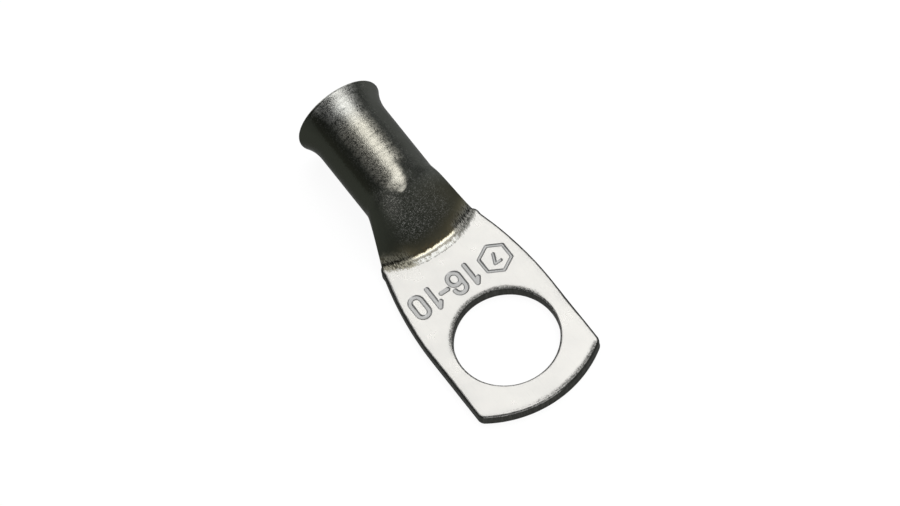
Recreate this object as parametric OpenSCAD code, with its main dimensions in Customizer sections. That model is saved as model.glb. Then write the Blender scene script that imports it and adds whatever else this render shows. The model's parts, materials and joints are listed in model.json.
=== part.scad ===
// Tinned copper cable lug with a bell mouth, pressed from one length of tube.
// The palm lies flat on the XY plane. The stud hole is centred on the origin
// with its axis along Z, and the barrel runs along +X, so the cable leaves at +X.

/* [Palm] */
// Width of the flat palm
palm_w = 14; // [13:0.1:16]
// Thickness of the palm, which is both walls of the tube pressed into one
palm_t = 1.3; // [1.1:0.05:1.8]
// Distance from the centre of the stud hole to the tip
tip_reach = 8; // [7:0.1:9.5]
// Radius of the wide arc that ends the palm
tip_r = 11.5; // [9.5:0.1:15]
// Radius of the corners between that arc and the sides
corner_r = 0.8; // [0.6:0.1:1.6]
// Distance from the centre of the stud hole to where the sides start to curve in
shoulder_x = 2.5; // [1:0.1:5]
// Radius of the shoulders that bring the sides in to the neck
shoulder_r = 38; // [30:1:48]
// Width of the palm at the neck
neck_w = 11.3; // [11.2:0.1:11.6]
// Length of the neck, whose sides are straight
neck_len = 1.2; // [1:0.1:1.8]
// Radius of the corners at the neck
neck_r = 0.9; // [0.5:0.05:1]
// Radius rolled over the upper edge where the palm was sheared
edge_r = 0.3; // [0.15:0.05:0.4]
// Radius left on the lower edge
burr_r = 0.12; // [0.05:0.01:0.2]

/* [Stud hole] */
// Diameter of the clearance hole for the 3/8 in stud
stud_d = 10.3; // [8.4:0.1:10.8]
// Radius drawn into the upper edge of the hole by the punch
punch_r = 0.25; // [0.1:0.05:0.4]

/* [Barrel] */
// Outside diameter of the tube
barrel_od = 7.8; // [7.2:0.1:8.6]
// Inside diameter of the tube, which takes the bare strands
bore_d = 5.9; // [5.2:0.1:6.3]
// Length of tube that stays straight and round
barrel_len = 7.8; // [6:0.1:14]

/* [Bell mouth] */
// Outside diameter over the lip
mouth_d = 9.2; // [8.8:0.1:10.4]
// Length of the flare, from the straight tube to the end of the lip
flare_len = 2.8; // [2:0.1:4]
// Radius on both edges of the lip
lip_r = 0.25; // [0.1:0.05:0.3]

/* [Transition] */
// Distance from the centre of the stud hole to the middle of the crease
crease_x = 12.4; // [11.8:0.1:13]
// How far the ends of the crease lie behind its middle
crease_bow = 1.7; // [1:0.1:2.2]
// Slope of the pressed face above the crease
slope_a = 62; // [55:1:68]
// Softness of the hollow between the pressed face and the palm
crease_soft = 0.75; // [0.4:0.05:1]
// Softness of the bend where the pressed face leaves the top of the tube
bend_soft = 1; // [0.5:0.1:1.6]
// Width of the pressed tube where it enters the palm
press_w = 11; // [10.4:0.1:11]

/* [Hidden] */
$fn = 96;

step = 0.01;                     // inset that keeps joined faces from meeting edge on edge
sink = 0.1;                      // how far one solid reaches into the next
arc_n = 12;                      // segments in the arc of the flare
ring_n = 64;                     // points round the pressed tube
ring_count = 18;                 // rings along the pressed tube
hollow_end = 0.78;               // share of the pressed tube that is still hollow

tube_r = barrel_od / 2;
bore_r = bore_d / 2;
stud_r = stud_d / 2;
wall = tube_r - bore_r;
axis_z = mouth_d / 2;            // the lip's lowest point is level with the palm's underside

// The tip's arc is centred on the palm's middle line, and each corner touches it from inside.
tip_c = tip_r - tip_reach;
corner_a = asin((palm_w / 2 - corner_r) / (tip_r - corner_r));
corner_c = [tip_c - (tip_r - corner_r) * cos(corner_a), palm_w / 2 - corner_r];

// Each shoulder starts tangent to the side and runs in until the palm is neck_w wide.
shoulder_c = [shoulder_x, palm_w / 2 - shoulder_r];
neck_x = shoulder_x + sqrt(shoulder_r ^ 2 - (neck_w / 2 - shoulder_c.y) ^ 2) + neck_len;
neck_c = [neck_x, neck_w / 2] - [neck_r, neck_r];

// The pressed face climbs from the crease to the top of the tube.
bend_x = crease_x + (axis_z + tube_r - palm_t) / tan(slope_a);
round_x = bend_x + 1.4 * bend_soft;
toe_x = crease_x - 1.5 * crease_soft;
flare_x = round_x + barrel_len;
mouth_x = flare_x + flare_len;

// The flare curves outwards at constant wall, and the lip is faced square to the barrel.
flare_rise = mouth_d / 2 - tube_r;
flare_run = flare_len - lip_r;
flare_r = (flare_run ^ 2 + flare_rise ^ 2) / (2 * flare_rise) - lip_r;
flare_c = [tube_r + flare_r, flare_x];
outer_a = asin(flare_run / (flare_r + lip_r));
inner_a = asin(flare_run / (flare_r + wall - lip_r));
outer_lip_c = flare_c + (flare_r + lip_r) * [-cos(outer_a), sin(outer_a)];
inner_lip_c = flare_c + (flare_r + wall - lip_r) * [-cos(inner_a), sin(inner_a)];

function mix(a, b, t) = a + (b - a) * t;
function ease(t) = let (s = min(max(t, 0), 1)) s * s * (3 - 2 * s);
function soft_start(t) = (sqrt(t ^ 2 + 0.02) - sqrt(0.02)) / (sqrt(1.02) - sqrt(0.02));
function soft_max(a, b, r) = (a + b + sqrt((a - b) ^ 2 + r ^ 2)) / 2;
function soft_min(a, b, r) = -soft_max(-a, -b, r);
function signed_power(v, p) = sign(v) * abs(v) ^ p;
function reverse(v) = [for (i = [len(v) - 1:-1:0]) v[i]];
function but_last(v) = [for (i = [0:len(v) - 2]) v[i]];
function mean(v) = [for (p = v) 1] * v / len(v);
function arc(c, r, a0, a1, n) = [for (i = [0:n]) c + r * [cos(mix(a0, a1, i / n)), sin(mix(a0, a1, i / n))]];

// Solid skinned over closed rings that all have the same number of points. The rings follow
// one another in the direction that their points turn about as a right-hand screw, and a fan
// of triangles round the middle of the first and of the last ring closes the solid.
module skin(rings) {
    n = len(rings[0]);
    last = len(rings) - 1;
    points = concat([for (ring = rings) each ring], [mean(rings[0]), mean(rings[last])]);
    sides = [for (k = [0:last - 1], i = [0:n - 1]) let (a = k * n + i, b = k * n + (i + 1) % n)
        each [[a, b + n, b], [a, a + n, b + n]]];
    start = [for (i = [0:n - 1]) [len(points) - 2, i, (i + 1) % n]];
    end = [for (i = [0:n - 1]) [len(points) - 1, last * n + (i + 1) % n, last * n + i]];
    polyhedron(points, concat(sides, start, end));
}

// Solid of revolution about the barrel's axis, from points given as [radius, x].
module about_barrel(profile) {
    translate([0, 0, axis_z])
        rotate([0, 90, 0])
            rotate_extrude()
                polygon(profile);
}

// Half of the palm's outline from the neck round to the tip, moved inwards by inset.
function half_outline(inset) = concat(
    arc(neck_c, neck_r - inset, 0, 90, 4),
    arc(shoulder_c, shoulder_r - inset,
        asin((neck_w / 2 - inset - shoulder_c.y) / (shoulder_r - inset)), 90, 8),
    but_last(arc(corner_c, corner_r - inset, 90, 180 - corner_a, 5)),
    arc([tip_c, 0], tip_r - inset, 180 - corner_a, 180, 9));

function outline(inset) = let (half = half_outline(inset))
    concat(half, [for (p = reverse(but_last(half))) [p.x, -p.y]]);

// Edge of the palm as [inset, height], with both rolls carried on past the flat faces.
function rolled_edge() = let (full = 75, n = 4, out = 0.5) concat(
    [burr_r * [1 - cos(full) + out * sin(full), 1 - sin(full) - out * cos(full)]],
    [for (i = [n:-1:0]) burr_r * [1 - cos(full * i / n), 1 - sin(full * i / n)]],
    [for (i = [0:n]) [0, palm_t] + edge_r * [1 - cos(full * i / n), sin(full * i / n) - 1]],
    [[0, palm_t] + edge_r * [1 - cos(full) + out * sin(full), sin(full) - 1 + out * cos(full)]]);

module palm() {
    intersection() {
        skin([for (e = rolled_edge()) [for (p = outline(e[0])) [p.x, p.y, e[1]]]]);
        translate([-tip_reach - 1, -palm_w, 0])
            cube([tip_reach + neck_x + 2, 2 * palm_w, palm_t]);
    }
}

// Hole for the stud, drawn in at the top and a little broken at the bottom.
module stud_cut() {
    rotate_extrude()
        polygon(concat(
            [[0, -sink], [stud_r + burr_r, -sink], [stud_r + burr_r, 0], [stud_r, burr_r]],
            arc([stud_r + punch_r, palm_t - punch_r], punch_r, 180, 90, 5),
            [[stud_r + punch_r, palm_t + sink], [0, palm_t + sink]]));
}

// Heights of the pressed tube's top and bottom on the middle line, at a wall's depth d.
function top_z(x, d) = soft_min(
    palm_t - d / cos(slope_a) + (x - crease_x) * tan(slope_a), axis_z + tube_r - d, bend_soft);
function bottom_z(x) = mix(axis_z - tube_r, step, ease((round_x - x) / (round_x - neck_x - sink)));

// Ring of the pressed tube: t = 0 is the round tube, t = 1 the flat end under the palm's face.
// Its section goes from a circle to a flat oval, and its middle runs ahead of its sides.
function press_ring(t, d) =
    let (
        s = soft_start(t),
        middle_x = mix(round_x, toe_x, t),
        side_x = mix(round_x, toe_x + crease_bow, t),
        half_w = mix(tube_r, press_w / 2, s) - d,
        low = bottom_z(middle_x) + d,
        high = soft_max(top_z(middle_x, d), d > 0 ? low + sink : palm_t - sink, crease_soft * t),
        wide_z = min(max(mix(axis_z, palm_t / 2, s), low + sink / 4), high - sink / 4),
        p = 2 / mix(2, 4, t))
    [for (i = [0:ring_n - 1]) let (
        a = 360 * i / ring_n,
        y = signed_power(cos(a), p),
        z = signed_power(sin(a), p))
        [mix(middle_x, side_x, y ^ 2), half_w * y, wide_z + (z > 0 ? high - wide_z : wide_z - low) * z]];

function round_ring(x, r) = [for (i = [0:ring_n - 1]) let (a = 360 * i / ring_n)
    [x, r * cos(a), axis_z + r * sin(a)]];

// The tube pressed down to the palm, from its round end to its flat end.
module pressed_tube() {
    skin(concat(
        [for (k = [ring_count:-1:1]) press_ring(k / ring_count, 0)],
        [round_ring(round_x, tube_r - step), round_ring(round_x + wall / 2, tube_r - wall / 4)]));
}

// The wedge-shaped hollow inside it, which closes where the two walls meet.
module pressed_hollow() {
    skin(concat(
        [for (k = [ring_count:-1:1]) press_ring(
            hollow_end * k / ring_count, mix(wall, palm_t / 2, k / ring_count))],
        [round_ring(round_x, bore_r - step), round_ring(round_x + wall / 2, bore_r - wall / 4)]));
}

module barrel() {
    about_barrel(concat(
        [[0, round_x], [tube_r, round_x]],
        but_last(arc(flare_c, flare_r, 180, 180 - outer_a, arc_n)),
        arc(outer_lip_c, lip_r, -outer_a, 90, arc_n / 2),
        [[0, mouth_x]]));
}

module bore_cut() {
    about_barrel(concat(
        [[0, round_x], [bore_r, round_x]],
        but_last(arc(flare_c, flare_r + wall, 180, 180 - inner_a, arc_n)),
        arc(inner_lip_c, lip_r, 180 - inner_a, 90, arc_n / 2),
        [[inner_lip_c.x, mouth_x + sink], [0, mouth_x + sink]]));
}

module lug() {
    color("silver")
        difference() {
            union() {
                palm();
                pressed_tube();
                barrel();
            }
            stud_cut();
            pressed_hollow();
            bore_cut();
        }
}

lug();
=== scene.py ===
"""Tinned copper cable lug: the finished looks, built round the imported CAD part.

The palm lies on the floor with the stud hole on the origin, and the barrel runs along +X.
Shapes are worked out in millimetres and put into the meshes in metres.
"""
import json

import bpy
import numpy as np
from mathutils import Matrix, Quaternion, Vector


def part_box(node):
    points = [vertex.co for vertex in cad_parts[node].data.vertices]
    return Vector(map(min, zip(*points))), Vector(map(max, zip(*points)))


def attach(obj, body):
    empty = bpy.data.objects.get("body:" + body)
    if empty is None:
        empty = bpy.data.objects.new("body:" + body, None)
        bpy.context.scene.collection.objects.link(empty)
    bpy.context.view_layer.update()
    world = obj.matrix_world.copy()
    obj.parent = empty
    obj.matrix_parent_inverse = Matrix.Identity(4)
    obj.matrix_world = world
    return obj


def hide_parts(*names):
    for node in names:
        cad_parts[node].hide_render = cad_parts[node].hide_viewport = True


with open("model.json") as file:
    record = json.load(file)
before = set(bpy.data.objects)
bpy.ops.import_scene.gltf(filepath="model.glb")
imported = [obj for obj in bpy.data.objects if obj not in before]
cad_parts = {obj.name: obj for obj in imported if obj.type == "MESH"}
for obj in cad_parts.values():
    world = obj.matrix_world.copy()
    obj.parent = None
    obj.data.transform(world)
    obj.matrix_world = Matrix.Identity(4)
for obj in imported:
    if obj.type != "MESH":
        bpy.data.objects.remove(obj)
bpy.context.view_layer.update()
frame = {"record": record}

MM = 0.001

# ---------------------------------------------------------------- sizes, in millimetres

low, high = (np.array(corner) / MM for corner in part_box("lug"))
mounts = {mount["name"]: mount for mount in frame["record"]["mounts"]}

# Read from the frame.
STUD_R = mounts["stud_hole"]["dims"]["r_mm"]
BORE_R = mounts["barrel_bore"]["dims"]["r_mm"]
BARREL_LEN = mounts["barrel_bore"]["dims"]["length_mm"]
PALM_T = mounts["washer_face"]["pos_m"][2] / MM
AXIS_Z = mounts["barrel_bore"]["pos_m"][2] / MM
PALM_HALF_W = high[1]
TIP_REACH = -low[0]
MOUTH_X = high[0]
MOUTH_R = high[2] - AXIS_Z

# The same driving sizes as the part's source.
TIP_R = 11.5            # the palm's curved end
CORNER_R = 0.8          # corners between its end and its sides
SHOULDER_X = 2.5        # where its straight sides end
SHOULDER_R = 38.0       # and curve in towards the neck
NECK_HALF_W = 5.65      # the palm at the crease
NECK_LEN = 1.2          # its straight stretch there
NECK_R = 0.9            # and the corners of that
EDGE_R = 0.3            # rolled upper edge
BURR_R = 0.12           # broken lower edge
PUNCH_R = 0.25          # hole's upper edge, drawn in by the punch
TUBE_R = 3.9
FLARE_LEN = 2.8
LIP_R = 0.25
CREASE_X = 12.4         # where the slope's line meets the palm's top, in the middle
CREASE_BOW = 1.7        # how much further back the crease lies at its ends
SLOPE = np.radians(62)
CREASE_SOFT = 0.75      # rounding of the crease
BEND_SOFT = 1.0         # rounding of the bend above the slope
PRESS_HALF_W = 5.5      # flat end of the pressed tube
SINK = 0.1              # how far that end reaches into the palm
HOLLOW_END = 0.78       # how far along the pressed stretch its hollow closes

WALL = TUBE_R - BORE_R
FLARE_X = MOUTH_X - FLARE_LEN
ROUND_X = FLARE_X - BARREL_LEN
TOE_X = CREASE_X - 1.5 * CREASE_SOFT
SHOULDER_DROP = SHOULDER_R - PALM_HALF_W + NECK_HALF_W
NECK_X = SHOULDER_X + np.sqrt(SHOULDER_R ** 2 - SHOULDER_DROP ** 2) + NECK_LEN


# ---------------------------------------------------------------- small tools

def mix(a, b, t):
    return a + (b - a) * t


def ease(t):
    """0 below 0, 1 above 1, and 3t^2 - 2t^3 between."""
    t = np.clip(t, 0, 1)
    return t * t * (3 - 2 * t)


def band(value, start, end):
    """Rises smoothly from 0 at start to 1 at end, whichever of them is larger."""
    return ease((value - start) / (end - start))


def soft_max(a, b, r):
    """The larger of two values, rounded over a stretch of about r where they cross."""
    return (a + b + np.sqrt((a - b) ** 2 + r ** 2)) / 2


def soft_min(a, b, r):
    return -soft_max(-a, -b, r)


def ripple(x, y, wave, seed):
    """Smooth unevenness between about -1 and 1: a third of the sum of five sine waves, which are
    0.7 to 1.4 times wave long and run 2.4 radians apart."""
    total = np.zeros(np.broadcast(x, y).shape)
    for k in range(5):
        turn = seed + 2.4 * k
        length = wave * (0.7 + 0.17 * k)
        total += np.sin((x * np.cos(turn) + y * np.sin(turn)) * 2 * np.pi / length + 1.7 * turn)
    return total / 3


def arc(centre, radius, start, end, n):
    """n + 1 points on an arc, from angle start to angle end in degrees."""
    a = np.radians(np.linspace(start, end, n + 1))
    return np.asarray(centre) + radius * np.column_stack([np.cos(a), np.sin(a)])


def line(start, end, n):
    """n + 1 points on a straight line."""
    return np.linspace(start, end, n + 1)


def grid_piece(name, points, closed_rows, attributes):
    """Mesh over a grid of points, points[row, column], in millimetres. Columns always close on
    themselves. Rows close on themselves when closed_rows is true, and otherwise the first and the
    last row each close on a point in their middle."""
    rows, columns, _ = points.shape
    index = np.arange(rows * columns).reshape(rows, columns)
    if closed_rows:
        index = np.vstack([index, index[:1]])
    index = np.hstack([index, index[:, :1]])
    quads = np.stack([index[:-1, :-1], index[:-1, 1:], index[1:, 1:], index[1:, :-1]], -1).reshape(-1, 4)
    verts = points.reshape(-1, 3)
    faces = quads.tolist()
    values = {key: np.broadcast_to(value, (rows, columns)).ravel() for key, value in attributes.items()}
    if not closed_rows:
        for ring, flip in ((0, False), (rows - 1, True)):
            pole = len(verts)
            verts = np.vstack([verts, points[ring].mean(0)])
            a, b = index[ring, :-1], index[ring, 1:]
            fan = np.column_stack([a, b] if flip else [b, a])
            faces += np.column_stack([fan, np.full(columns, pole)]).tolist()
            values = {key: np.append(value, value[ring * columns]) for key, value in values.items()}
    mesh = bpy.data.meshes.new(name)
    mesh.from_pydata((verts * MM).tolist(), [], faces)
    mesh.polygons.foreach_set("use_smooth", np.ones(len(mesh.polygons), bool))
    for key, value in values.items():
        layer = mesh.attributes.new(key, "FLOAT", "POINT")
        layer.data.foreach_set("value", value.astype(np.float32))
    mesh.update()
    piece = bpy.data.objects.new(name, mesh)
    bpy.context.scene.collection.objects.link(piece)
    return piece


# ---------------------------------------------------------------- marks stamped in the palm

FIGURE_STROKE = 0.23   # half the width of a stroke in the figures
BADGE_STROKE = 0.15    # and in the six-sided mark beside them
STAMP_DEPTH = 0.07
FIGURE_H = 2.4         # height of a figure, from middle to middle of its strokes
FIGURE_W = 1.2         # width of a round figure
ONE_W = 0.9
DASH_W = 0.75
FIGURE_GAP = 0.5       # clear width between two figures
FIGURES_Y = -1.5       # where the row of figures begins
MARK_X = 7.65          # middle of the row, and of the six-sided mark
BADGE_Y = -3.95
BADGE_R = 1.6
SEVEN_W = 0.64         # the figure in that mark
SEVEN_H = 1.0


# Each figure is drawn upright as polylines, w wide and h high, with its lower left corner at (x, 0).

def stadium(x, y, w, h):
    """Closed loop of half circles of width w joined by straight sides, total height h."""
    r = w / 2
    return np.vstack([arc((x + r, y + h - r), r, 0, 180, 12), arc((x + r, y + r), r, 180, 360, 12),
                      [(x + w, y + h - r)]])


def figure_zero(x, w, h):
    return [stadium(x, 0, w, h)]


def figure_one(x, w, h):
    return [np.array([(x, h * 0.78), (x + w * 0.42, h), (x + w * 0.42, 0)])]


def figure_six(x, w, h):
    r = w / 2
    hook = np.vstack([[(x, r)], arc((x + r, h - r), r, 180, 0, 12), [(x + w, h * 0.76)]])
    return [stadium(x, 0, w, h * 0.57), hook]


def figure_seven(x, w, h):
    return [np.array([(x, h), (x + w, h), (x + w * 0.35, 0)])]


def dash(x, w, h):
    return [np.array([(x, h * 0.5), (x + w, h * 0.5)])]


def laid(strokes, height):
    """Strokes drawn upright as (across, up), laid on the palm with their tops towards the stud
    hole: across runs along +Y and up along -X."""
    return [np.column_stack([MARK_X + height / 2 - s[:, 1], s[:, 0]]) for s in strokes]


def figures():
    """Polylines of the row of size figures."""
    upright = []
    across = FIGURES_Y
    for draw, width in ((figure_one, ONE_W), (figure_six, FIGURE_W), (dash, DASH_W), (figure_one, ONE_W),
                        (figure_zero, FIGURE_W)):
        upright += draw(across, width, FIGURE_H)
        across += width + FIGURE_GAP
    return laid(upright, FIGURE_H)


def badge():
    """Polylines of a plain hexagon with one figure in it."""
    seven = figure_seven(BADGE_Y - SEVEN_W / 2, SEVEN_W, SEVEN_H)
    return [arc((MARK_X, BADGE_Y), BADGE_R, 0, 360, 6)] + laid(seven, SEVEN_H)


def distance_to(lines, x, y):
    """Distance from each point to the nearest segment of any line: the point's offset from the
    segment's start, less its part along the segment held between 0 and the segment's length."""
    nearest = np.full(x.shape, 1e3)
    for line in lines:
        for (ax, ay), (bx, by) in zip(line[:-1], line[1:]):
            dx, dy = bx - ax, by - ay
            t = np.clip(((x - ax) * dx + (y - ay) * dy) / (dx * dx + dy * dy), 0, 1)
            nearest = np.minimum(nearest, np.hypot(x - ax - t * dx, y - ay - t * dy))
    return nearest


# ---------------------------------------------------------------- palm

STAMPED_TURN = 44      # degrees to both sides of +X that hold the stamps
PLAIN_TOP = 0.45       # plain stretch of the top beside the hole
FIELD_REACH = 5.35     # how far from the hole's edge the close rows for the stamps go
FIELD_GAP = 0.12       # and how near to the rolled edge
DRAG = 0.01            # mean hollow of the sheared side


def palm_outline():
    """Half of the outline from the neck round to the tip, then its mirror image. Its points lie
    close together, because the spokes are read off between them."""
    tip_c = TIP_R - TIP_REACH
    corner_a = np.arcsin((PALM_HALF_W - CORNER_R) / (TIP_R - CORNER_R))
    corner_c = (tip_c - (TIP_R - CORNER_R) * np.cos(corner_a), PALM_HALF_W - CORNER_R)
    shoulder_c = (SHOULDER_X, PALM_HALF_W - SHOULDER_R)
    shoulder_a = np.degrees(np.arcsin(SHOULDER_DROP / SHOULDER_R))
    neck_c = (NECK_X - NECK_R, NECK_HALF_W - NECK_R)
    turn = 180 - np.degrees(corner_a)
    half = np.vstack([
        line((NECK_X, 0), (NECK_X, neck_c[1]), 199),
        arc(neck_c, NECK_R, 0, 90, 60)[1:],
        line((neck_c[0], NECK_HALF_W), (NECK_X - NECK_LEN, NECK_HALF_W), 59)[1:],
        arc(shoulder_c, SHOULDER_R, shoulder_a, 90, 400)[1:],
        line((SHOULDER_X, PALM_HALF_W), corner_c + np.array([0, CORNER_R]), 199)[1:],
        arc(corner_c, CORNER_R, 90, turn, 80)[1:],
        arc((tip_c, 0), TIP_R, turn, 180, 200)[1:]])
    return np.vstack([half, half[-2:0:-1] * [1, -1]])


def palm_spokes():
    """Polar angles of the columns, close together where the figures are stamped."""
    stamped = np.linspace(-STAMPED_TURN, STAMPED_TURN, 280)
    plain = np.linspace(STAMPED_TURN, 360 - STAMPED_TURN, 161)[1:-1]
    return np.radians(np.concatenate([stamped, plain]))[::-1]


def palm_edge(spoke):
    """Where each spoke meets the outline, and the outline's outward normal there."""
    outline = palm_outline()
    turn = np.unwrap(np.arctan2(outline[:, 1], outline[:, 0]))
    ahead = np.roll(outline, -1, 0) - np.roll(outline, 1, 0)
    outward = np.column_stack([ahead[:, 1], -ahead[:, 0]]) / np.hypot(*ahead.T)[:, None]
    table = np.column_stack([outline, outward])
    turn, table = np.append(turn, turn[0] + 2 * np.pi), np.vstack([table, table[:1]])
    px, py, nx, ny = (np.interp(np.mod(spoke, 2 * np.pi), turn, column) for column in table.T)
    long = np.hypot(nx, ny)
    return px, py, nx / long, ny / long


def row(x, y, z, shear_and_dark_reflection=0.0, polish_and_highlight=1.0):
    """One row of the palm's grid: a place for each spoke, how sheared and painted dark it is, and how
    polished.
    """
    return np.stack(np.broadcast_arrays(x, y, z, shear_and_dark_reflection, polish_and_highlight))


def hole_rows(way, punch, border):
    """Over the hole's broken lower edge, up its wall at equal shares of its height, and over the
    edge that the punch drew in."""
    half_way = BURR_R * 0.3
    # The hole's wall is painted dark as a reflection, like the sheared sides.
    rows = [row(*((STUD_R + BURR_R) * way).T, 0.0, 0.5, 0.6),
            row(*((STUD_R + half_way) * way).T, half_way, 1.0, 0.0)]
    for share in np.linspace(0.12, 1, 7)[:-1]:
        rows.append(row(*(STUD_R * way).T, (PALM_T - punch) * share, 1.0, 0.0))
    for a in np.radians(np.linspace(0, 90, 9)):
        out = STUD_R + punch * (1 - np.cos(a))
        shear_and_dark_reflection = 1 - 0.5 * band(a, 0.4, 0.8) - 0.5 * band(a, 1.25, 1.5)
        rows.append(row(out * way[:, 0], out * way[:, 1], PALM_T - punch * (1 - np.sin(a)),
                        np.maximum(shear_and_dark_reflection, border)))
    return rows


def top_rows(start, end, length, border):
    """Out across the top, along a straight line from the hole's edge to the rolled edge, and down
    into the stamps."""
    reach = np.minimum(FIELD_REACH, length - FIELD_GAP)
    strokes = ((figures(), FIGURE_STROKE), (badge(), BADGE_STROKE))

    def place(far):
        return mix(start, end, (far / length)[:, None]).T

    rows = [row(*place(far), PALM_T, border(far)) for far in PLAIN_TOP * np.arange(1, 5) / 4]
    for t in np.linspace(0, 1, 112)[1:]:
        far = mix(PLAIN_TOP, reach, t)
        x, y = place(far)
        away = np.minimum(*(distance_to(lines, x, y) - half for lines, half in strokes))
        z = PALM_T - STAMP_DEPTH * band(away, 0.03, -0.07)
        rows.append(row(x, y, z, border(far), band(away, 0.0, 0.06)))
    for t in np.linspace(0, 1, 11)[1:-1]:
        far = mix(reach, length, t)
        rows.append(row(*place(far), PALM_T, border(far)))
    return rows


def side_rows(edge, roll, border):
    """Over the rolled edge, down the sheared side, painted near black as a dark reflection, and round
    the lower edge. Along the tip on the +Y side the rolled edge gets a painted highlight line. a is
    the angle round an edge, and is 0 where it meets the side."""
    px, py, nx, ny = edge

    def inward(inset):
        return px - inset * nx, py - inset * ny

    rows = []
    for a in np.radians(np.linspace(90, 0, 11)):
        glint = 0.6 * band(nx, -0.5, -0.8) * band(a, 0.45, 0.7) * band(a, 1.1, 0.9) * band(ny, -0.3, 0.0)
        shear_and_dark_reflection = np.maximum(1 - band(a, 0.9, 1.4) - glint, border)
        rows.append(row(*inward(roll * (1 - np.cos(a))), PALM_T - roll * (1 - np.sin(a)), shear_and_dark_reflection))
    drag = DRAG * np.clip(1 + ripple(px, py, 0.9, 0.3), 0, 2)
    for share in np.linspace(1, 0, 8)[1:-1]:
        rows.append(row(*inward(drag * np.sin(np.pi * share)), mix(BURR_R, PALM_T - roll, share), 1.0, 0.0))
    for a in np.radians(np.linspace(0, 90, 6)):
        rows.append(row(*inward(BURR_R * (1 - np.cos(a))), BURR_R * (1 - np.sin(a)),
                        1 - band(a, 0.6, 1.3), band(a, 0.6, 1.4)))
    return rows


def under_rows(edge, way):
    """Back along the underside."""
    px, py, nx, ny = edge
    inner = (STUD_R + BURR_R) * way
    outer = np.column_stack([px - BURR_R * nx, py - BURR_R * ny])
    return [row(*mix(outer, inner, t).T, 0.0) for t in np.linspace(0, 1, 8)[1:-1]]


def palm():
    """A closed ring-shaped surface: for each spoke the section runs up the hole's wall, over its
    drawn-in edge, out across the top with the stamped figures, over the rolled edge, down the
    sheared side and back along the underside. Both upper edges are a little uneven in radius."""
    spoke = palm_spokes()
    way = np.column_stack([np.cos(spoke), np.sin(spoke)])
    edge = palm_edge(spoke)
    px, py, nx, ny = edge
    roll = EDGE_R * (1 + 0.16 * ripple(px, py, 6.0, 0.4) + 0.05 * ripple(px, py, 1.1, 2.0))
    punch = PUNCH_R * (1 + 0.12 * ripple(5 * way[:, 0], 5 * way[:, 1], 5.0, 1.1))
    start = (STUD_R + punch)[:, None] * way
    end = np.column_stack([px - roll * nx, py - roll * ny])
    length = np.hypot(*(end - start).T)

    def border(far):
        """Darkened border of the top, at a distance far from the hole's edge: it fades out within 0.4 mm
        of the hole on the tube's side, and within 0.55 mm of the rolled edge, most at the tip."""
        at_hole = 0.5 * band(way[:, 0], 0.0, 0.6) * band(far, 0.4, 0.0)
        at_edge = (0.12 + 0.4 * band(nx, -0.5, -0.8) * band(ny, 0.6, -0.3)) * band(length - far, 0.55, 0.0)
        return at_hole + at_edge

    rows = np.array(hole_rows(way, punch, border(0.0)) + top_rows(start, end, length, border)
                    + side_rows(edge, roll, border(length)) + under_rows(edge, way))
    points = np.moveaxis(rows[:, :3], 1, -1)
    return grid_piece("palm", points, True, {"shear_and_dark_reflection": rows[:, 3], "polish_and_highlight": rows[:, 4]})


# ---------------------------------------------------------------- tube

LIFT_LEN = 2.0         # stretch before the round tube over which the pressed one is lifted to it
END_CLEAR = 0.01       # height of the pressed tube's end above the floor
PRESS_START = 0.02     # how gently the press begins to widen the tube
TUBE_POINTS = 288      # points in a ring


def top_z(x, depth):
    """Height of the pressed tube on its middle line: the pressed slope, rounded into the tube's top,
    and lifted a little over the last stretch so that it meets the round tube without a step."""
    top = AXIS_Z + TUBE_R - depth

    def rounded(x):
        return soft_min(PALM_T - depth / np.cos(SLOPE) + (x - CREASE_X) * np.tan(SLOPE), top, BEND_SOFT)

    return rounded(x) + band(x, ROUND_X - LIFT_LEN, ROUND_X) * (top - rounded(ROUND_X))


def bottom_z(x):
    """Height of its underside: it comes down smoothly from the round tube to the palm's underside."""
    return mix(AXIS_Z - TUBE_R, END_CLEAR, ease((ROUND_X - x) / (ROUND_X - NECK_X - SINK)))


def press_rings(t, depth, turn):
    """Rings of the pressed tube, t = 0 at the round tube and t = 1 at the flat end. A ring is the
    curve |y|^n + |z|^n = 1, whose power n goes from 2 to 4, stretched between the lowest and the
    highest point, and its middle runs ahead of its sides by the square of y. The width grows with
    s, which is t with a soft start. The skin ends within the palm, and the hollow, at a depth
    in the wall, closes to a thin slit."""
    t, depth = t[:, None], np.broadcast_to(depth, t.shape)[:, None]
    least = np.sqrt(PRESS_START)
    s = (np.sqrt(t ** 2 + PRESS_START) - least) / (np.sqrt(1 + PRESS_START) - least)
    n = mix(2, 4, t)
    c, d = np.cos(turn)[None, :], np.sin(turn)[None, :]
    size = (np.abs(c) ** n + np.abs(d) ** n) ** (1 / n)
    y, z = c / size, d / size
    middle_x, side_x = mix(ROUND_X, TOE_X, t), mix(ROUND_X, TOE_X + CREASE_BOW, t)
    half_w = mix(TUBE_R, PRESS_HALF_W, s) - depth
    low_z = bottom_z(middle_x) + depth
    floor_z = np.where(depth > 0, low_z + SINK, PALM_T - SINK)
    high_z = soft_max(top_z(middle_x, depth), floor_z, CREASE_SOFT * t)
    wide_z = np.clip(mix(AXIS_Z, PALM_T / 2, s), low_z + SINK / 4, high_z - SINK / 4)
    return np.stack([mix(middle_x, side_x, y ** 2), half_w * y,
                     wide_z + np.where(z > 0, high_z - wide_z, wide_z - low_z) * z], -1)


def round_rings(profile, turn):
    """Rings of radius profile[:, 0] at profile[:, 1] along the barrel's axis."""
    radius, x = profile[:, :1], profile[:, 1:]
    return np.stack([x + 0 * turn, radius * np.cos(turn), AXIS_Z + radius * np.sin(turn)], -1)


def straight(radius, start, end, n):
    """n steps of a profile of one radius, all of them between start and end."""
    return np.column_stack([np.full(n, radius), np.linspace(start, end, n + 2)[1:-1]])


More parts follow.
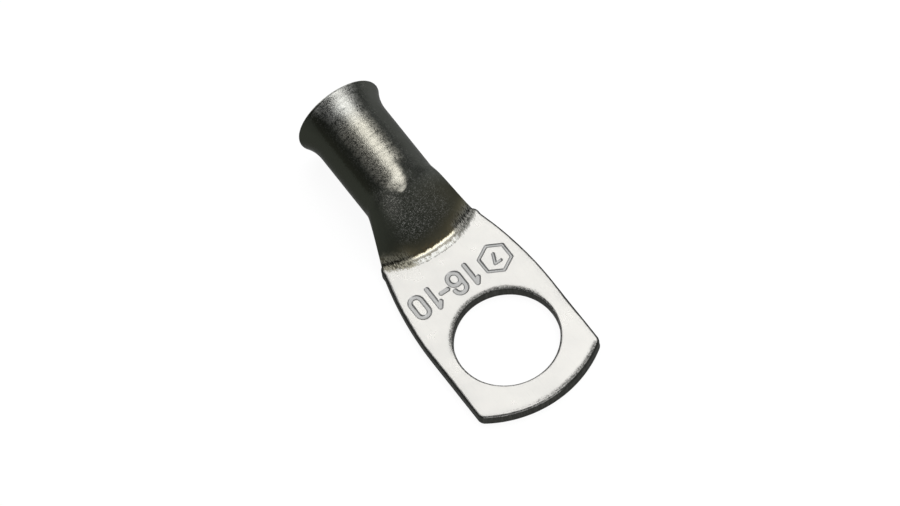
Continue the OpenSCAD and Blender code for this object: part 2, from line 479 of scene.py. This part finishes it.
def flare_profiles():
    """The flare's outer and inner lines as (radius, x): arcs about one centre, ended by a lip that
    is faced square to the barrel and has a small radius on both edges."""
    rise, run = MOUTH_R - TUBE_R, FLARE_LEN - LIP_R
    flare_r = (run ** 2 + rise ** 2) / (2 * rise) - LIP_R
    centre = np.array([TUBE_R + flare_r, FLARE_X])

    def lip(reach):
        """The lip's centre at this distance from the flare's, and the angle between them."""
        a = np.arcsin(run / reach)
        return centre + reach * np.array([-np.cos(a), np.sin(a)]), np.degrees(a)

    outer_lip, outer_a = lip(flare_r + LIP_R)
    inner_lip, inner_a = lip(flare_r + WALL - LIP_R)
    outer = np.vstack([arc(centre, flare_r, 180, 180 - outer_a, 26),
                       arc(outer_lip, LIP_R, -outer_a, 90, 12)[1:]])
    inner = np.vstack([arc(centre, flare_r + WALL, 180, 180 - inner_a, 18),
                       arc(inner_lip, LIP_R, 180 - inner_a, 90, 8)[1:]])
    return outer, inner[::-1]


def facing(points):
    """Outward normal at each point of a grid, from its two tangents."""
    along = np.gradient(points, axis=0)
    around = np.roll(points, -1, 1) - np.roll(points, 1, 1)
    normal = np.cross(around, along)
    return normal / (np.linalg.norm(normal, axis=-1, keepdims=True) + 1e-12)


# Masks of the tube's finish. side is the sideways part of the normal, and along is how far a point
# lies past the place where the pressed tube turns round, in mm. Each band runs from the place
# where a mask is 0 to the place where it is 1.

def highlight_strip(x, y, side):
    """1 on the bright strip along the top of the tube, a painted highlight: the tin keeps its bright
    colour only where the softbox's reflection falls. It fades out down both flanks, and over its
    last millimetres it narrows from the -Y side to a rounded tip, which ends on a parabola."""
    along = x - ROUND_X
    flanks = band(side, 0.58, 0.22) * band(side, -0.50, -0.14)
    edge = mix(-0.15, -0.5, band(along, -1.73, 0.77))
    narrow = np.maximum(band(along, 0.37, 1.77), band(y, edge - 0.5, edge + 0.3))
    parabola = 0.5 * (y - 0.45) ** 2 - 1.81
    tip = band(along - parabola, 0, 0.2 + 0.9 * np.clip(y - 0.5, 0, 3))
    return flanks * tip * narrow


def speckled(x, y, side):
    """How thickly pale crystals lie on the metal painted dark: most on the middle of the slope, and
    some along both flanks of the tube."""
    along = x - ROUND_X
    above_crease = band(x - CREASE_X - 0.05 * y ** 2, 0.3, 1.2)
    slope = above_crease * mix(1, 0.7, band(along, -3.13, -2.13)) * band(along, 1.87, -0.63)
    middle = band(y, 3.5, 1.7) * mix(0.6, 1, band(y, -1.8, 0.6)) * band(y, -4.4, -2.2)
    plus_y = 0.7 * band(side, 0.78, 0.36) * band(side, 0.1, 0.3)
    minus_y = 0.6 * band(side, -0.74, -0.5) * band(side, -0.1, -0.3)
    return np.maximum(slope * middle, (plus_y + minus_y) * band(along, -2.13, -0.13))


def matted(x, y):
    """1 on the patch beside the bright strip's tip where the tin is matte and pale."""
    along = x - ROUND_X
    return band(y, 0.7, 1.6) * band(y, 3.2, 2.0) * band(along, -3.43, -1.83) * band(along, -0.03, -1.23)


def tube():
    """One closed skin: from the flat end over the pressed slope and along the barrel to the lip,
    then back through the bore into the wedge-shaped hollow, which ends where the walls meet."""
    turn = np.linspace(0, 2 * np.pi, TUBE_POINTS + 1)[:-1]
    t = 1 - np.linspace(0, 1, 150) ** 1.15      # a little closer together at the flat end
    u = np.linspace(0, 1, 30)
    outer, inner = flare_profiles()
    skin = np.concatenate([press_rings(t, 0.0, turn),
                           round_rings(straight(TUBE_R, ROUND_X, FLARE_X, 58), turn),
                           round_rings(outer, turn)])
    bore = np.concatenate([round_rings(inner, turn),
                           round_rings(straight(BORE_R, FLARE_X, ROUND_X, 30), turn),
                           press_rings(HOLLOW_END * u, mix(WALL, PALM_T / 2, u), turn)])
    points = np.concatenate([skin, bore])
    inside = np.repeat([0.0, 1.0], [len(skin), len(bore)])[:, None]
    _, side, up = np.moveaxis(facing(points), -1, 0)
    x, y = points[..., 0], points[..., 1]
    outside = band(up, 0.1, 0.3) * (1 - inside)
    return grid_piece("barrel", points, False, {
        "inside": inside,
        # On the tube this share is a painted highlight: the bright strip along the top.
        "polish_and_highlight": highlight_strip(x, y, side) * outside,
        "specks": speckled(x, y, side) * outside,
        "matte": matted(x, y) * outside,
        "under": band(up, -0.25, -0.8) * (1 - inside)})


# ---------------------------------------------------------------- finishes

def new_group(name, inputs, outputs):
    """Empty node group with float inputs given as (name, value), and outputs given by name: one
    called Color is a colour and the others are floats."""
    group = bpy.data.node_groups.new(name, "ShaderNodeTree")
    for label, value in inputs:
        group.interface.new_socket(label, in_out="INPUT", socket_type="NodeSocketFloat").default_value = value
    for label in outputs:
        kind = "NodeSocketColor" if label == "Color" else "NodeSocketFloat"
        group.interface.new_socket(label, in_out="OUTPUT", socket_type=kind)
    return group, group.nodes.new("NodeGroupInput"), group.nodes.new("NodeGroupOutput")


class Wiring:
    """Short forms for the nodes that the finishes use, in one node tree. It is called w there."""

    def __init__(self, tree):
        self.tree = tree

    def node(self, kind, **settings):
        made = self.tree.nodes.new("ShaderNode" + kind)
        for key, value in settings.items():
            setattr(made, key, value)
        return made

    def feed(self, socket, value):
        if hasattr(value, "is_output"):
            self.tree.links.new(value, socket)
        else:
            socket.default_value = value

    def math(self, operation, *values, clamp=False):
        made = self.node("Math", operation=operation, use_clamp=clamp)
        for socket, value in zip(made.inputs, values):
            self.feed(socket, value)
        return made.outputs[0]

    def times(self, a, b):
        return self.math("MULTIPLY", a, b)

    def plus(self, a, b):
        return self.math("ADD", a, b)

    def minus(self, a, b):
        return self.math("SUBTRACT", a, b)

    def step(self, value, start, end):
        """0 where value is at start, 1 where it is at end, eased between."""
        made = self.node("MapRange", interpolation_type="SMOOTHSTEP")
        for socket, given in zip(made.inputs, (value, start, end, 0.0, 1.0)):
            self.feed(socket, given)
        return made.outputs[0]

    def blend(self, share, a, b):
        """Colour from a to b. The Mix node's sockets for colours are its inputs 6 and 7."""
        made = self.node("Mix", data_type="RGBA")
        self.feed(made.inputs["Factor"], share)
        self.feed(made.inputs[6], a)
        self.feed(made.inputs[7], b)
        return made.outputs[2]

    def blend_values(self, share, a, b):
        """Value from a to b. Its sockets for values are its inputs 2 and 3."""
        made = self.node("Mix", data_type="FLOAT")
        self.feed(made.inputs["Factor"], share)
        self.feed(made.inputs[2], a)
        self.feed(made.inputs[3], b)
        return made.outputs[0]

    def noise(self, where, scale, detail=2.0, roughness=0.5):
        made = self.node("TexNoise")
        self.feed(made.inputs["Vector"], where)
        self.feed(made.inputs["Scale"], scale)
        self.feed(made.inputs["Detail"], detail)
        self.feed(made.inputs["Roughness"], roughness)
        return made.outputs["Fac"]

    def place(self):
        """The piece's own coordinates, in metres."""
        return self.node("TexCoord").outputs["Object"]

    def stretched(self, where, scale):
        """Coordinates multiplied along each axis."""
        made = self.node("Mapping")
        self.feed(made.inputs["Vector"], where)
        made.inputs["Scale"].default_value = scale
        return made.outputs[0]

    def attribute(self, name):
        return self.node("Attribute", attribute_name=name).outputs["Fac"]


def grain_group():
    """Tin grain of two sizes mixed. Fleck is 0 to 1 with a share of bright crystals set by Cover,
    Height is the same grain as a relief, and Cloud is a slow unevenness."""
    group, given, out = new_group("tin_grain", [("Size mm", 0.1), ("Cover", 0.5)],
                                  ["Fleck", "Height", "Cloud"])
    w = Wiring(group)
    where = w.place()
    per_metre = w.math("DIVIDE", 1000.0, given.outputs["Size mm"])
    fine = w.noise(where, per_metre, 3.0, 0.6)
    coarse = w.noise(where, w.times(per_metre, 0.37), 2.0, 0.5)
    cloud = w.noise(where, w.times(per_metre, 0.045), 3.0, 0.55)
    both = w.plus(w.times(fine, 0.75), w.times(coarse, 0.25))
    edge = w.minus(0.72, w.times(given.outputs["Cover"], 0.44))
    fleck = w.step(both, w.minus(edge, 0.09), w.plus(edge, 0.09))
    w.feed(out.inputs["Fleck"], fleck)
    w.feed(out.inputs["Height"], both)
    w.feed(out.inputs["Cloud"], w.step(cloud, 0.3, 0.7))
    return group


def lines_group():
    """Fine scratches: noise stretched along X, across X, or along Z."""
    group, given, out = new_group("drag_lines", [("Per mm", 12.0)], ["Line X", "Line Y", "Line Z"])
    w = Wiring(group)
    where = w.place()
    per_metre = w.times(given.outputs["Per mm"], 1000.0)
    w.feed(out.inputs["Line X"], w.noise(w.stretched(where, (0.06, 1.0, 1.0)), per_metre, 2.0))
    w.feed(out.inputs["Line Y"], w.noise(w.stretched(where, (1.0, 0.14, 0.14)), per_metre, 3.0, 0.6))
    w.feed(out.inputs["Line Z"], w.noise(w.stretched(where, (1.0, 1.0, 0.05)), per_metre, 2.0))
    return group


def use(w, group, **values):
    """Outputs of a node group put into a finish. values are its inputs, with _ for a space."""
    made = w.node("Group", node_tree=group)
    for key, value in values.items():
        w.feed(made.inputs[key.replace("_", " ")], value)
    return made.outputs


# The palm: its faces, its stamps, and its sheared sides painted near black as a dark reflection.
PRESSED_TIN = (0.79, 0.775, 0.735, 1)
CLOUDED_TIN = (0.76, 0.75, 0.72, 1)
HAIRLINE = (0.55, 0.55, 0.53, 1)
STAMPED = (0.47, 0.47, 0.46, 1)
SHEARED_DARK_REFLECTION = (0.040, 0.041, 0.037, 1)
DRAGGED_DARK_REFLECTION = (0.065, 0.066, 0.060, 1)

# The tube's bright strip along its top, whose shape is a painted highlight, and the grain that shows there.
WARM_TIN = (0.98, 0.94, 0.80, 1)
COOL_TIN = (0.88, 0.88, 0.83, 1)
HIGHLIGHT_GRAIN = (0.50, 0.49, 0.43, 1)

# The tube elsewhere, painted near black as a dark reflection.
DARK_REFLECTION_TIN = (0.033, 0.036, 0.028, 1)
LIGHTER_REFLECTION_TIN = (0.085, 0.089, 0.080, 1)
BLACK_REFLECTION_TIN = (0.018, 0.019, 0.013, 1)
OLIVE = (0.042, 0.040, 0.027, 1)
CREASE_GLOW_TIN = (0.15, 0.137, 0.088, 1)
GREY_TIN = (0.40, 0.40, 0.375, 1)
MATTE_TIN = (0.042, 0.0425, 0.036, 1)
PALE_TIN = (0.37, 0.37, 0.325, 1)
UNDER_TIN = (0.24, 0.24, 0.22, 1)
BORE_TIN = (0.35, 0.345, 0.32, 1)

# The crease, from its front to its back, with its painted highlights, and the striations at its ends.
BORDER_TIN = (0.22, 0.22, 0.20, 1)
CREASE_HIGHLIGHT_TIN = (0.90, 0.90, 0.86, 1)
BROWN_TIN = (0.20, 0.18, 0.13, 1)
GOLD_HIGHLIGHT_TIN = (1.0, 0.93, 0.72, 1)
FRINGE_TIN = (0.16, 0.115, 0.055, 1)
STRIA_DARK = (0.07, 0.065, 0.045, 1)
STRIA_LIGHT = (0.42, 0.40, 0.32, 1)
SOOTY_STRIA = (0.035, 0.035, 0.03, 1)
SMOKY_STRIA = (0.30, 0.295, 0.27, 1)

CREASE_FRONT = CREASE_X - 1.2   # where the crease's band begins on the middle line, in mm
CREASE_CURVE = 0.04             # how far it bows back with the square of y
CREASE_BEND = 0.0005            # and with its fourth power
SLOPE_SPAN = (ROUND_X - 1.13, ROUND_X - 2.63)   # along X, over which the slope's cast sets in
BLACK_REFLECTION_SPAN = (ROUND_X - 1.13, ROUND_X + 0.87)   # and the painted black band of reflection behind it
MOUTH_SPAN = (FLARE_X - 1.93, FLARE_X + 1.07)   # and the cooler tin of the mouth
LIGHTER_REFLECTION_SPAN = (1.5, -3.0)                        # along Y, over which the painted dark reflection turns lighter

PALM_RELIEF = 0.000002          # depth of the palm's grain and hairlines, in metres
TUBE_RELIEF = 0.000028          # and of the tube's grain


def finish(name, edge):
    """Material with a Principled shader wired to its output, and its Wiring. edge is how strongly
    the metal still mirrors at a flat angle, where dull metal doesn't brighten as clean metal does."""
    material = bpy.data.materials.new(name)
    material.use_nodes = True
    w = Wiring(material.node_tree)
    shader = material.node_tree.nodes["Principled BSDF"]
    shader.inputs["Specular Tint"].default_value = (edge, edge, edge, 1)
    return material, w, shader


def relief(w, shader, height, metres):
    """Bump of the given depth on a finish."""
    bump = w.node("Bump")
    bump.inputs["Distance"].default_value = metres
    w.feed(bump.inputs["Height"], height)
    w.feed(shader.inputs["Normal"], bump.outputs[0])


def place_mm(w):
    """X and Y of the piece's own coordinates, in millimetres."""
    where = w.node("SeparateXYZ")
    w.feed(where.inputs[0], w.place())
    return [w.times(where.outputs[k], 1000.0) for k in range(2)]


def crease_group():
    """The band along the crease, by the distance behind a curve that bows back off the middle
    line: a dotted grey border, a bright band, a thin brown line and a gold one, and a brown
    fringe. The bright band and the gold line are painted highlights along the rounded crease.
    Towards its ends the band turns into fine dark and pale striations across it, brownish
    at the +Y end and greyer at the -Y end. Mask is 1 on the band, and the third output is 1 up
    to the band's back and fades out above it: a painted brown glow over the foot of the slope."""
    group, _, out = new_group("crease_band", [], ["Color", "Mask", "Painted_glow"])
    w = Wiring(group)
    x, y = place_mm(w)
    square = w.times(y, y)
    bow = w.times(square, w.plus(w.times(square, CREASE_BEND), CREASE_CURVE))
    behind = w.minus(w.minus(x, bow), CREASE_FRONT)

    # Two kinds of unevenness about 0, which make the band's lines ragged.
    striation = w.noise(w.stretched(w.place(), (0.22, 1.0, 0.22)), 11000.0, 2.0, 0.65)
    patchy = w.noise(w.place(), 2600.0, 3.0, 0.65)
    stroke = w.minus(striation, 0.5)
    patch = w.minus(patchy, 0.5)
    uneven = w.plus(w.times(stroke, 0.4), w.times(patch, 0.4))
    ragged = w.plus(behind, uneven)
    far = w.step(w.plus(square, w.times(uneven, 12.0)), 3.2, 8.0)

    # Colours from front to back: each line begins and ends at a distance in mm.
    worn = w.plus(w.times(stroke, 1.5), w.times(patch, 2.5))
    # Painted highlight: the bright band, worn brown in places.
    colour = w.blend(w.times(w.step(worn, -0.1, 0.5), 0.7), CREASE_HIGHLIGHT_TIN, BROWN_TIN)
    dots = w.times(w.step(ragged, 0.20, 0.05), w.step(striation, 0.36, 0.52))
    colour = w.blend(dots, colour, BORDER_TIN)
    line = w.times(w.step(ragged, 0.46, 0.62), w.step(ragged, 0.84, 0.74))
    colour = w.blend(w.times(line, 0.8), colour, BROWN_TIN)
    # Painted highlight: the gold line.
    gold = w.times(w.step(behind, 0.80, 0.88), w.step(square, 8.5, 4.5))
    colour = w.blend(gold, colour, GOLD_HIGHLIGHT_TIN)
    colour = w.blend(w.step(ragged, 0.98, 1.06), colour, FRINGE_TIN)
    greyer = w.step(y, -1.0, -3.5)
    dark = w.blend(greyer, STRIA_DARK, SOOTY_STRIA)
    pale = w.blend(greyer, STRIA_LIGHT, SMOKY_STRIA)
    ends = w.blend(w.step(striation, 0.40, 0.62), dark, pale)
    w.feed(out.inputs["Color"], w.blend(far, colour, ends))

    # The band is sharp in the middle, with a few specks behind it, and soft at its ends.
    soft = w.plus(behind, w.plus(w.times(stroke, 1.2), w.times(patch, 0.6)))
    front = w.blend_values(far, w.step(ragged, 0.0, 0.06), w.step(soft, -0.05, 0.35))
    speckle = w.times(w.step(patchy, 0.48, 0.58), w.step(behind, 1.6, 1.1))
    middle = w.math("MAXIMUM", w.step(ragged, 1.10, 1.02), w.times(speckle, 0.6))
    back = w.blend_values(far, middle, w.step(soft, 2.0, 1.0))
    w.feed(out.inputs["Mask"], w.times(front, back))

    # The painted glow is a third weaker in the middle than at the sides, and is gone at the +Y end.
    sides = w.plus(w.times(w.step(square, 0.8, 6.0), 0.35), 0.65)
    sides = w.times(sides, w.step(y, 4.4, 2.2))
    w.feed(out.inputs["Painted_glow"], w.times(w.step(behind, 2.5, 0.9), sides))
    return group


def palm_finish(grain, lines, crease):
    """Bright, pressed tin: faint clouds and hairlines on the faces, grey in the stamped figures,
    the crease's band, and dragged metal on the sheared sides with a ragged border, painted near
    black as a dark reflection."""
    material, w, shader = finish("pressed_tin", 0.5)
    polish_and_highlight, shear_and_dark_reflection = w.attribute("polish_and_highlight"), w.attribute("shear_and_dark_reflection")
    tin = use(w, grain, Size_mm=0.12, Cover=0.5)
    scratches = use(w, lines, Per_mm=9.0)
    folded = use(w, crease)

    face = w.blend(w.times(tin["Cloud"], 0.5), PRESSED_TIN, CLOUDED_TIN)
    face = w.blend(w.times(w.step(scratches["Line X"], 0.6, 0.75), 0.15), face, HAIRLINE)
    colour = w.blend(polish_and_highlight, STAMPED, face)
    colour = w.blend(folded["Mask"], colour, folded["Color"])
    # Painted dark reflection on the sheared sides, the hole's wall and the top's border.
    side = w.blend(w.step(scratches["Line Z"], 0.45, 0.7), SHEARED_DARK_REFLECTION, DRAGGED_DARK_REFLECTION)
    ragged = w.plus(shear_and_dark_reflection, w.times(w.minus(tin["Height"], 0.5), 1.2))
    colour = w.blend(w.step(ragged, 0.15, 0.7), colour, side)
    w.feed(shader.inputs["Base Color"], colour)
    w.feed(shader.inputs["Metallic"], w.blend_values(shear_and_dark_reflection, 0.85, 1.0))
    w.feed(shader.inputs["Roughness"], w.blend_values(shear_and_dark_reflection, w.blend_values(tin["Cloud"], 0.27, 0.31), 0.5))
    relief(w, shader, w.plus(tin["Height"], w.times(scratches["Line X"], 0.3)), PALM_RELIEF)
    return material


def painted_dark_tin(w, x, y, tin, crystals, hollow):
    """Colour of the tube outside the bright strip, painted near black as a dark reflection: a lighter
    painted reflection towards -Y, olive on the pressed slope, a ragged painted black band of
    reflection along +Y, a painted brown glow over the crease, and pale crystals that lie thin
    in the speckled parts and thick in the matte patch."""
    specks = w.attribute("specks")
    # Painted reflection: lighter towards -Y.
    lighter_reflection = w.step(y, *LIGHTER_REFLECTION_SPAN)
    # Painted dark reflection: the tin is near black outside the bright strip.
    colour = w.blend(lighter_reflection, DARK_REFLECTION_TIN, LIGHTER_REFLECTION_TIN)
    olive = w.times(w.step(x, *SLOPE_SPAN), lighter_reflection)
    colour = w.blend(w.times(olive, 0.9), colour, OLIVE)
    colour = w.blend(w.times(tin["Cloud"], 0.3), colour, DARK_REFLECTION_TIN)
    # Painted reflection: a ragged black band along +Y.
    turned = w.plus(y, w.times(w.minus(tin["Height"], 0.5), 1.2))      # y, made ragged by the grain
    strip = w.times(w.step(turned, 2.0, 2.6), w.step(turned, 3.12, 2.98))
    black_reflection = w.times(strip, w.times(w.step(x, *BLACK_REFLECTION_SPAN), 0.8))
    colour = w.blend(black_reflection, colour, BLACK_REFLECTION_TIN)
    # Painted glow: brown light over the foot of the slope, where it lies in shade.
    colour = w.blend(hollow, colour, CREASE_GLOW_TIN)
    colour = w.blend(w.times(specks, 0.45), colour, DARK_REFLECTION_TIN)
    colour = w.blend(w.times(w.times(crystals["Fleck"], specks), 0.85), colour, GREY_TIN)
    return w.blend(w.attribute("matte"), colour, w.blend(crystals["Fleck"], MATTE_TIN, PALE_TIN))


def highlight_tin(w, x, tin, scratch):
    """Colour of the bright strip, a painted highlight: warm, cooler at the mouth, with grey grain and cross
    scratches.
    """
    colour = w.blend(w.step(x, *MOUTH_SPAN), WARM_TIN, COOL_TIN)
    colour = w.blend(w.times(tin["Fleck"], 0.4), colour, HIGHLIGHT_GRAIN)
    return w.blend(w.times(w.step(scratch, 0.54, 0.72), 0.6), colour, HIGHLIGHT_GRAIN)


def tube_finish(grain, lines, crease):
    """Grainy tin: painted dark as a dark reflection, and bright along the top in a strip shaped as a
    painted highlight, where the high grain and the cross scratches break up the border of the
    strip. The matte patch is hardly metallic."""
    material, w, shader = finish("grainy_tin", 0.5)
    x, y = place_mm(w)
    polish_and_highlight = w.attribute("polish_and_highlight")
    tin = use(w, grain, Size_mm=0.11, Cover=0.5)
    crystals = use(w, grain, Size_mm=0.08, Cover=0.30)
    scratch = use(w, lines, Per_mm=3.0)["Line Y"]
    folded = use(w, crease)

    uneven = w.plus(w.times(tin["Height"], 6.0), w.times(scratch, 2.5))
    broken = w.times(w.minus(uneven, 4.25), w.times(polish_and_highlight, w.minus(1.6, polish_and_highlight)))
    # Painted highlight: the bright strip, whose border the grain breaks up.
    highlight_share = w.math("ADD", w.times(polish_and_highlight, 0.88), broken, clamp=True)
    colour = w.blend(highlight_share, painted_dark_tin(w, x, y, tin, crystals, folded["Painted_glow"]), highlight_tin(w, x, tin, scratch))
    colour = w.blend(folded["Mask"], colour, folded["Color"])
    colour = w.blend(w.attribute("under"), colour, UNDER_TIN)
    colour = w.blend(w.attribute("inside"), colour, BORE_TIN)
    w.feed(shader.inputs["Base Color"], colour)
    bare = w.times(w.attribute("matte"), w.minus(1.0, highlight_share))
    w.feed(shader.inputs["Metallic"], w.minus(1.0, w.times(bare, 0.8)))
    rough = w.blend_values(polish_and_highlight, 0.40, w.blend_values(tin["Fleck"], 0.16, 0.36))
    w.feed(shader.inputs["Roughness"], w.blend_values(folded["Mask"], rough, 0.2))
    relief(w, shader, tin["Height"], TUBE_RELIEF)
    return material


# ---------------------------------------------------------------- floor, lamps and camera

FLOOR_R = 1000.0
FLOOR_RINGS = [1.0, 60.0, 200.0, 500.0]     # radii of the flat part's rings
FLOOR_SPOKES = 96
RIM_W = 200.0
RIM_H = 90.0
FILL_AIM = Vector((0.008, 0, 0))            # in metres
SENSOR_W = 36                               # of the camera


def floor():
    """Round pale floor whose rim sweeps up: radius and height along a quarter-ellipse at the edge."""
    turn = np.linspace(0, 2 * np.pi, FLOOR_SPOKES + 1)[:-1]
    a = np.linspace(0, np.pi / 2, 13)
    radius = np.concatenate([FLOOR_RINGS, FLOOR_R - RIM_W * (1 - np.sin(a))])
    height = np.concatenate([[0.0] * len(FLOOR_RINGS), RIM_H * (1 - np.cos(a))])
    rings = np.stack([radius[:, None] * np.cos(turn), radius[:, None] * np.sin(turn),
                      height[:, None] + 0 * turn], -1)
    index = np.arange(len(radius) * FLOOR_SPOKES).reshape(-1, FLOOR_SPOKES)
    index = np.hstack([index, index[:, :1]])
    quads = np.stack([index[:-1, :-1], index[1:, :-1], index[1:, 1:], index[:-1, 1:]], -1)
    faces = quads.reshape(-1, 4).tolist() + [index[0, :-1].tolist()]
    mesh = bpy.data.meshes.new("floor")
    mesh.from_pydata((rings.reshape(-1, 3) * MM).tolist(), [], faces)
    mesh.polygons.foreach_set("use_smooth", np.ones(len(mesh.polygons), bool))
    made = bpy.data.objects.new("floor", mesh)
    bpy.context.scene.collection.objects.link(made)
    return made


def floor_finish():
    """White floor that keeps the shadow, and shows as white to the eye and in the metal."""
    material, w, principled = finish("white_floor", 1.0)
    w.tree.nodes.remove(principled)
    paper = w.node("BsdfDiffuse")
    paper.inputs["Color"].default_value = (0.92, 0.92, 0.92, 1)
    glow = w.node("Emission")
    glow.inputs["Color"].default_value = (1, 1, 1, 1)
    glow.inputs["Strength"].default_value = 1.03
    ray = w.node("LightPath").outputs
    direct = w.plus(ray["Is Camera Ray"], ray["Is Glossy Ray"])
    seen = w.math("ADD", direct, ray["Is Transmission Ray"], clamp=True)
    both = w.node("MixShader")
    w.feed(both.inputs[0], w.times(seen, 0.9))
    w.feed(both.inputs[1], paper.outputs[0])
    w.feed(both.inputs[2], glow.outputs[0])
    w.feed(w.tree.nodes["Material Output"].inputs["Surface"], both.outputs[0])
    return material


def panel(name, place, size, glow):
    """Rectangular lamp that shines straight down. glow is its brightness where 1 is white."""
    data = bpy.data.lights.new(name, "AREA")
    data.shape = "RECTANGLE"
    data.size, data.size_y = size
    data.energy = glow * np.pi * size[0] * size[1]
    lamp = bpy.data.objects.new(name, data)
    lamp.location = place
    bpy.context.scene.collection.objects.link(lamp)
    return lamp


def lamps():
    """A low softbox that the metal mirrors, and a large fill that it doesn't, turned to the object."""
    panel("softbox", (-0.04, -0.155, 0.40), (0.84, 0.27), 1.2)
    fill = panel("fill", (0.25, -0.35, 0.9), (1.2, 1.2), 2.2)
    fill.visible_glossy = False
    fill.rotation_mode = "QUATERNION"
    fill.rotation_quaternion = (FILL_AIM - fill.location).to_track_quat("-Z", "Y")


def room():
    """Soft grey room, by the upward part of the direction seen: walls that fade out between 20 and
    40 degrees above the floor, a dark band over them and a ceiling straight above."""
    world = bpy.data.worlds.new("room")
    bpy.context.scene.world = world
    world.use_nodes = True
    w = Wiring(world.node_tree)
    up = w.node("SeparateXYZ")
    w.feed(up.inputs[0], w.node("TexCoord").outputs["Generated"])
    walls = w.times(w.step(up.outputs[2], 0.65, 0.35), 0.45)
    ceiling = w.times(w.step(up.outputs[2], 0.93, 0.98), 0.5)
    background = world.node_tree.nodes["Background"]
    background.inputs["Color"].default_value = (0.96, 0.98, 1, 1)
    w.feed(background.inputs["Strength"], w.plus(w.plus(walls, ceiling), 0.06))


def camera(azimuth, elevation, roll, distance, target, lens):
    """Long-lens camera: azimuth 0 looks along +Y and 90 along -X. Angles are in degrees, and the
    distance, the target and the lens in millimetres."""
    a, e = np.radians([azimuth, elevation])
    back = Vector((np.sin(a) * np.cos(e), -np.cos(a) * np.cos(e), np.sin(e)))
    data = bpy.data.cameras.new("camera")
    data.lens = lens
    data.sensor_width = SENSOR_W
    data.clip_start, data.clip_end = 0.01, 10
    made = bpy.data.objects.new("camera", data)
    made.location = (Vector(target) + back * distance) * MM
    made.rotation_mode = "QUATERNION"
    made.rotation_quaternion = (-back).to_track_quat("-Z", "Y") @ Quaternion((0, 0, 1), np.radians(roll))
    bpy.context.scene.collection.objects.link(made)
    bpy.context.scene.camera = made


# ---------------------------------------------------------------- the scene

camera(azimuth=-114.41, elevation=61.66, roll=-11.43, distance=1002.8, target=(10.39, -0.65, 2.0), lens=418.6)

effects = grain_group(), lines_group(), crease_group()
for piece, material in ((palm(), palm_finish(*effects)), (tube(), tube_finish(*effects))):
    piece.data.materials.append(material)
    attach(piece, "root")
    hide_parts("lug")

floor().data.materials.append(floor_finish())
lamps()
room()
bpy.context.scene.view_settings.view_transform = "Standard"
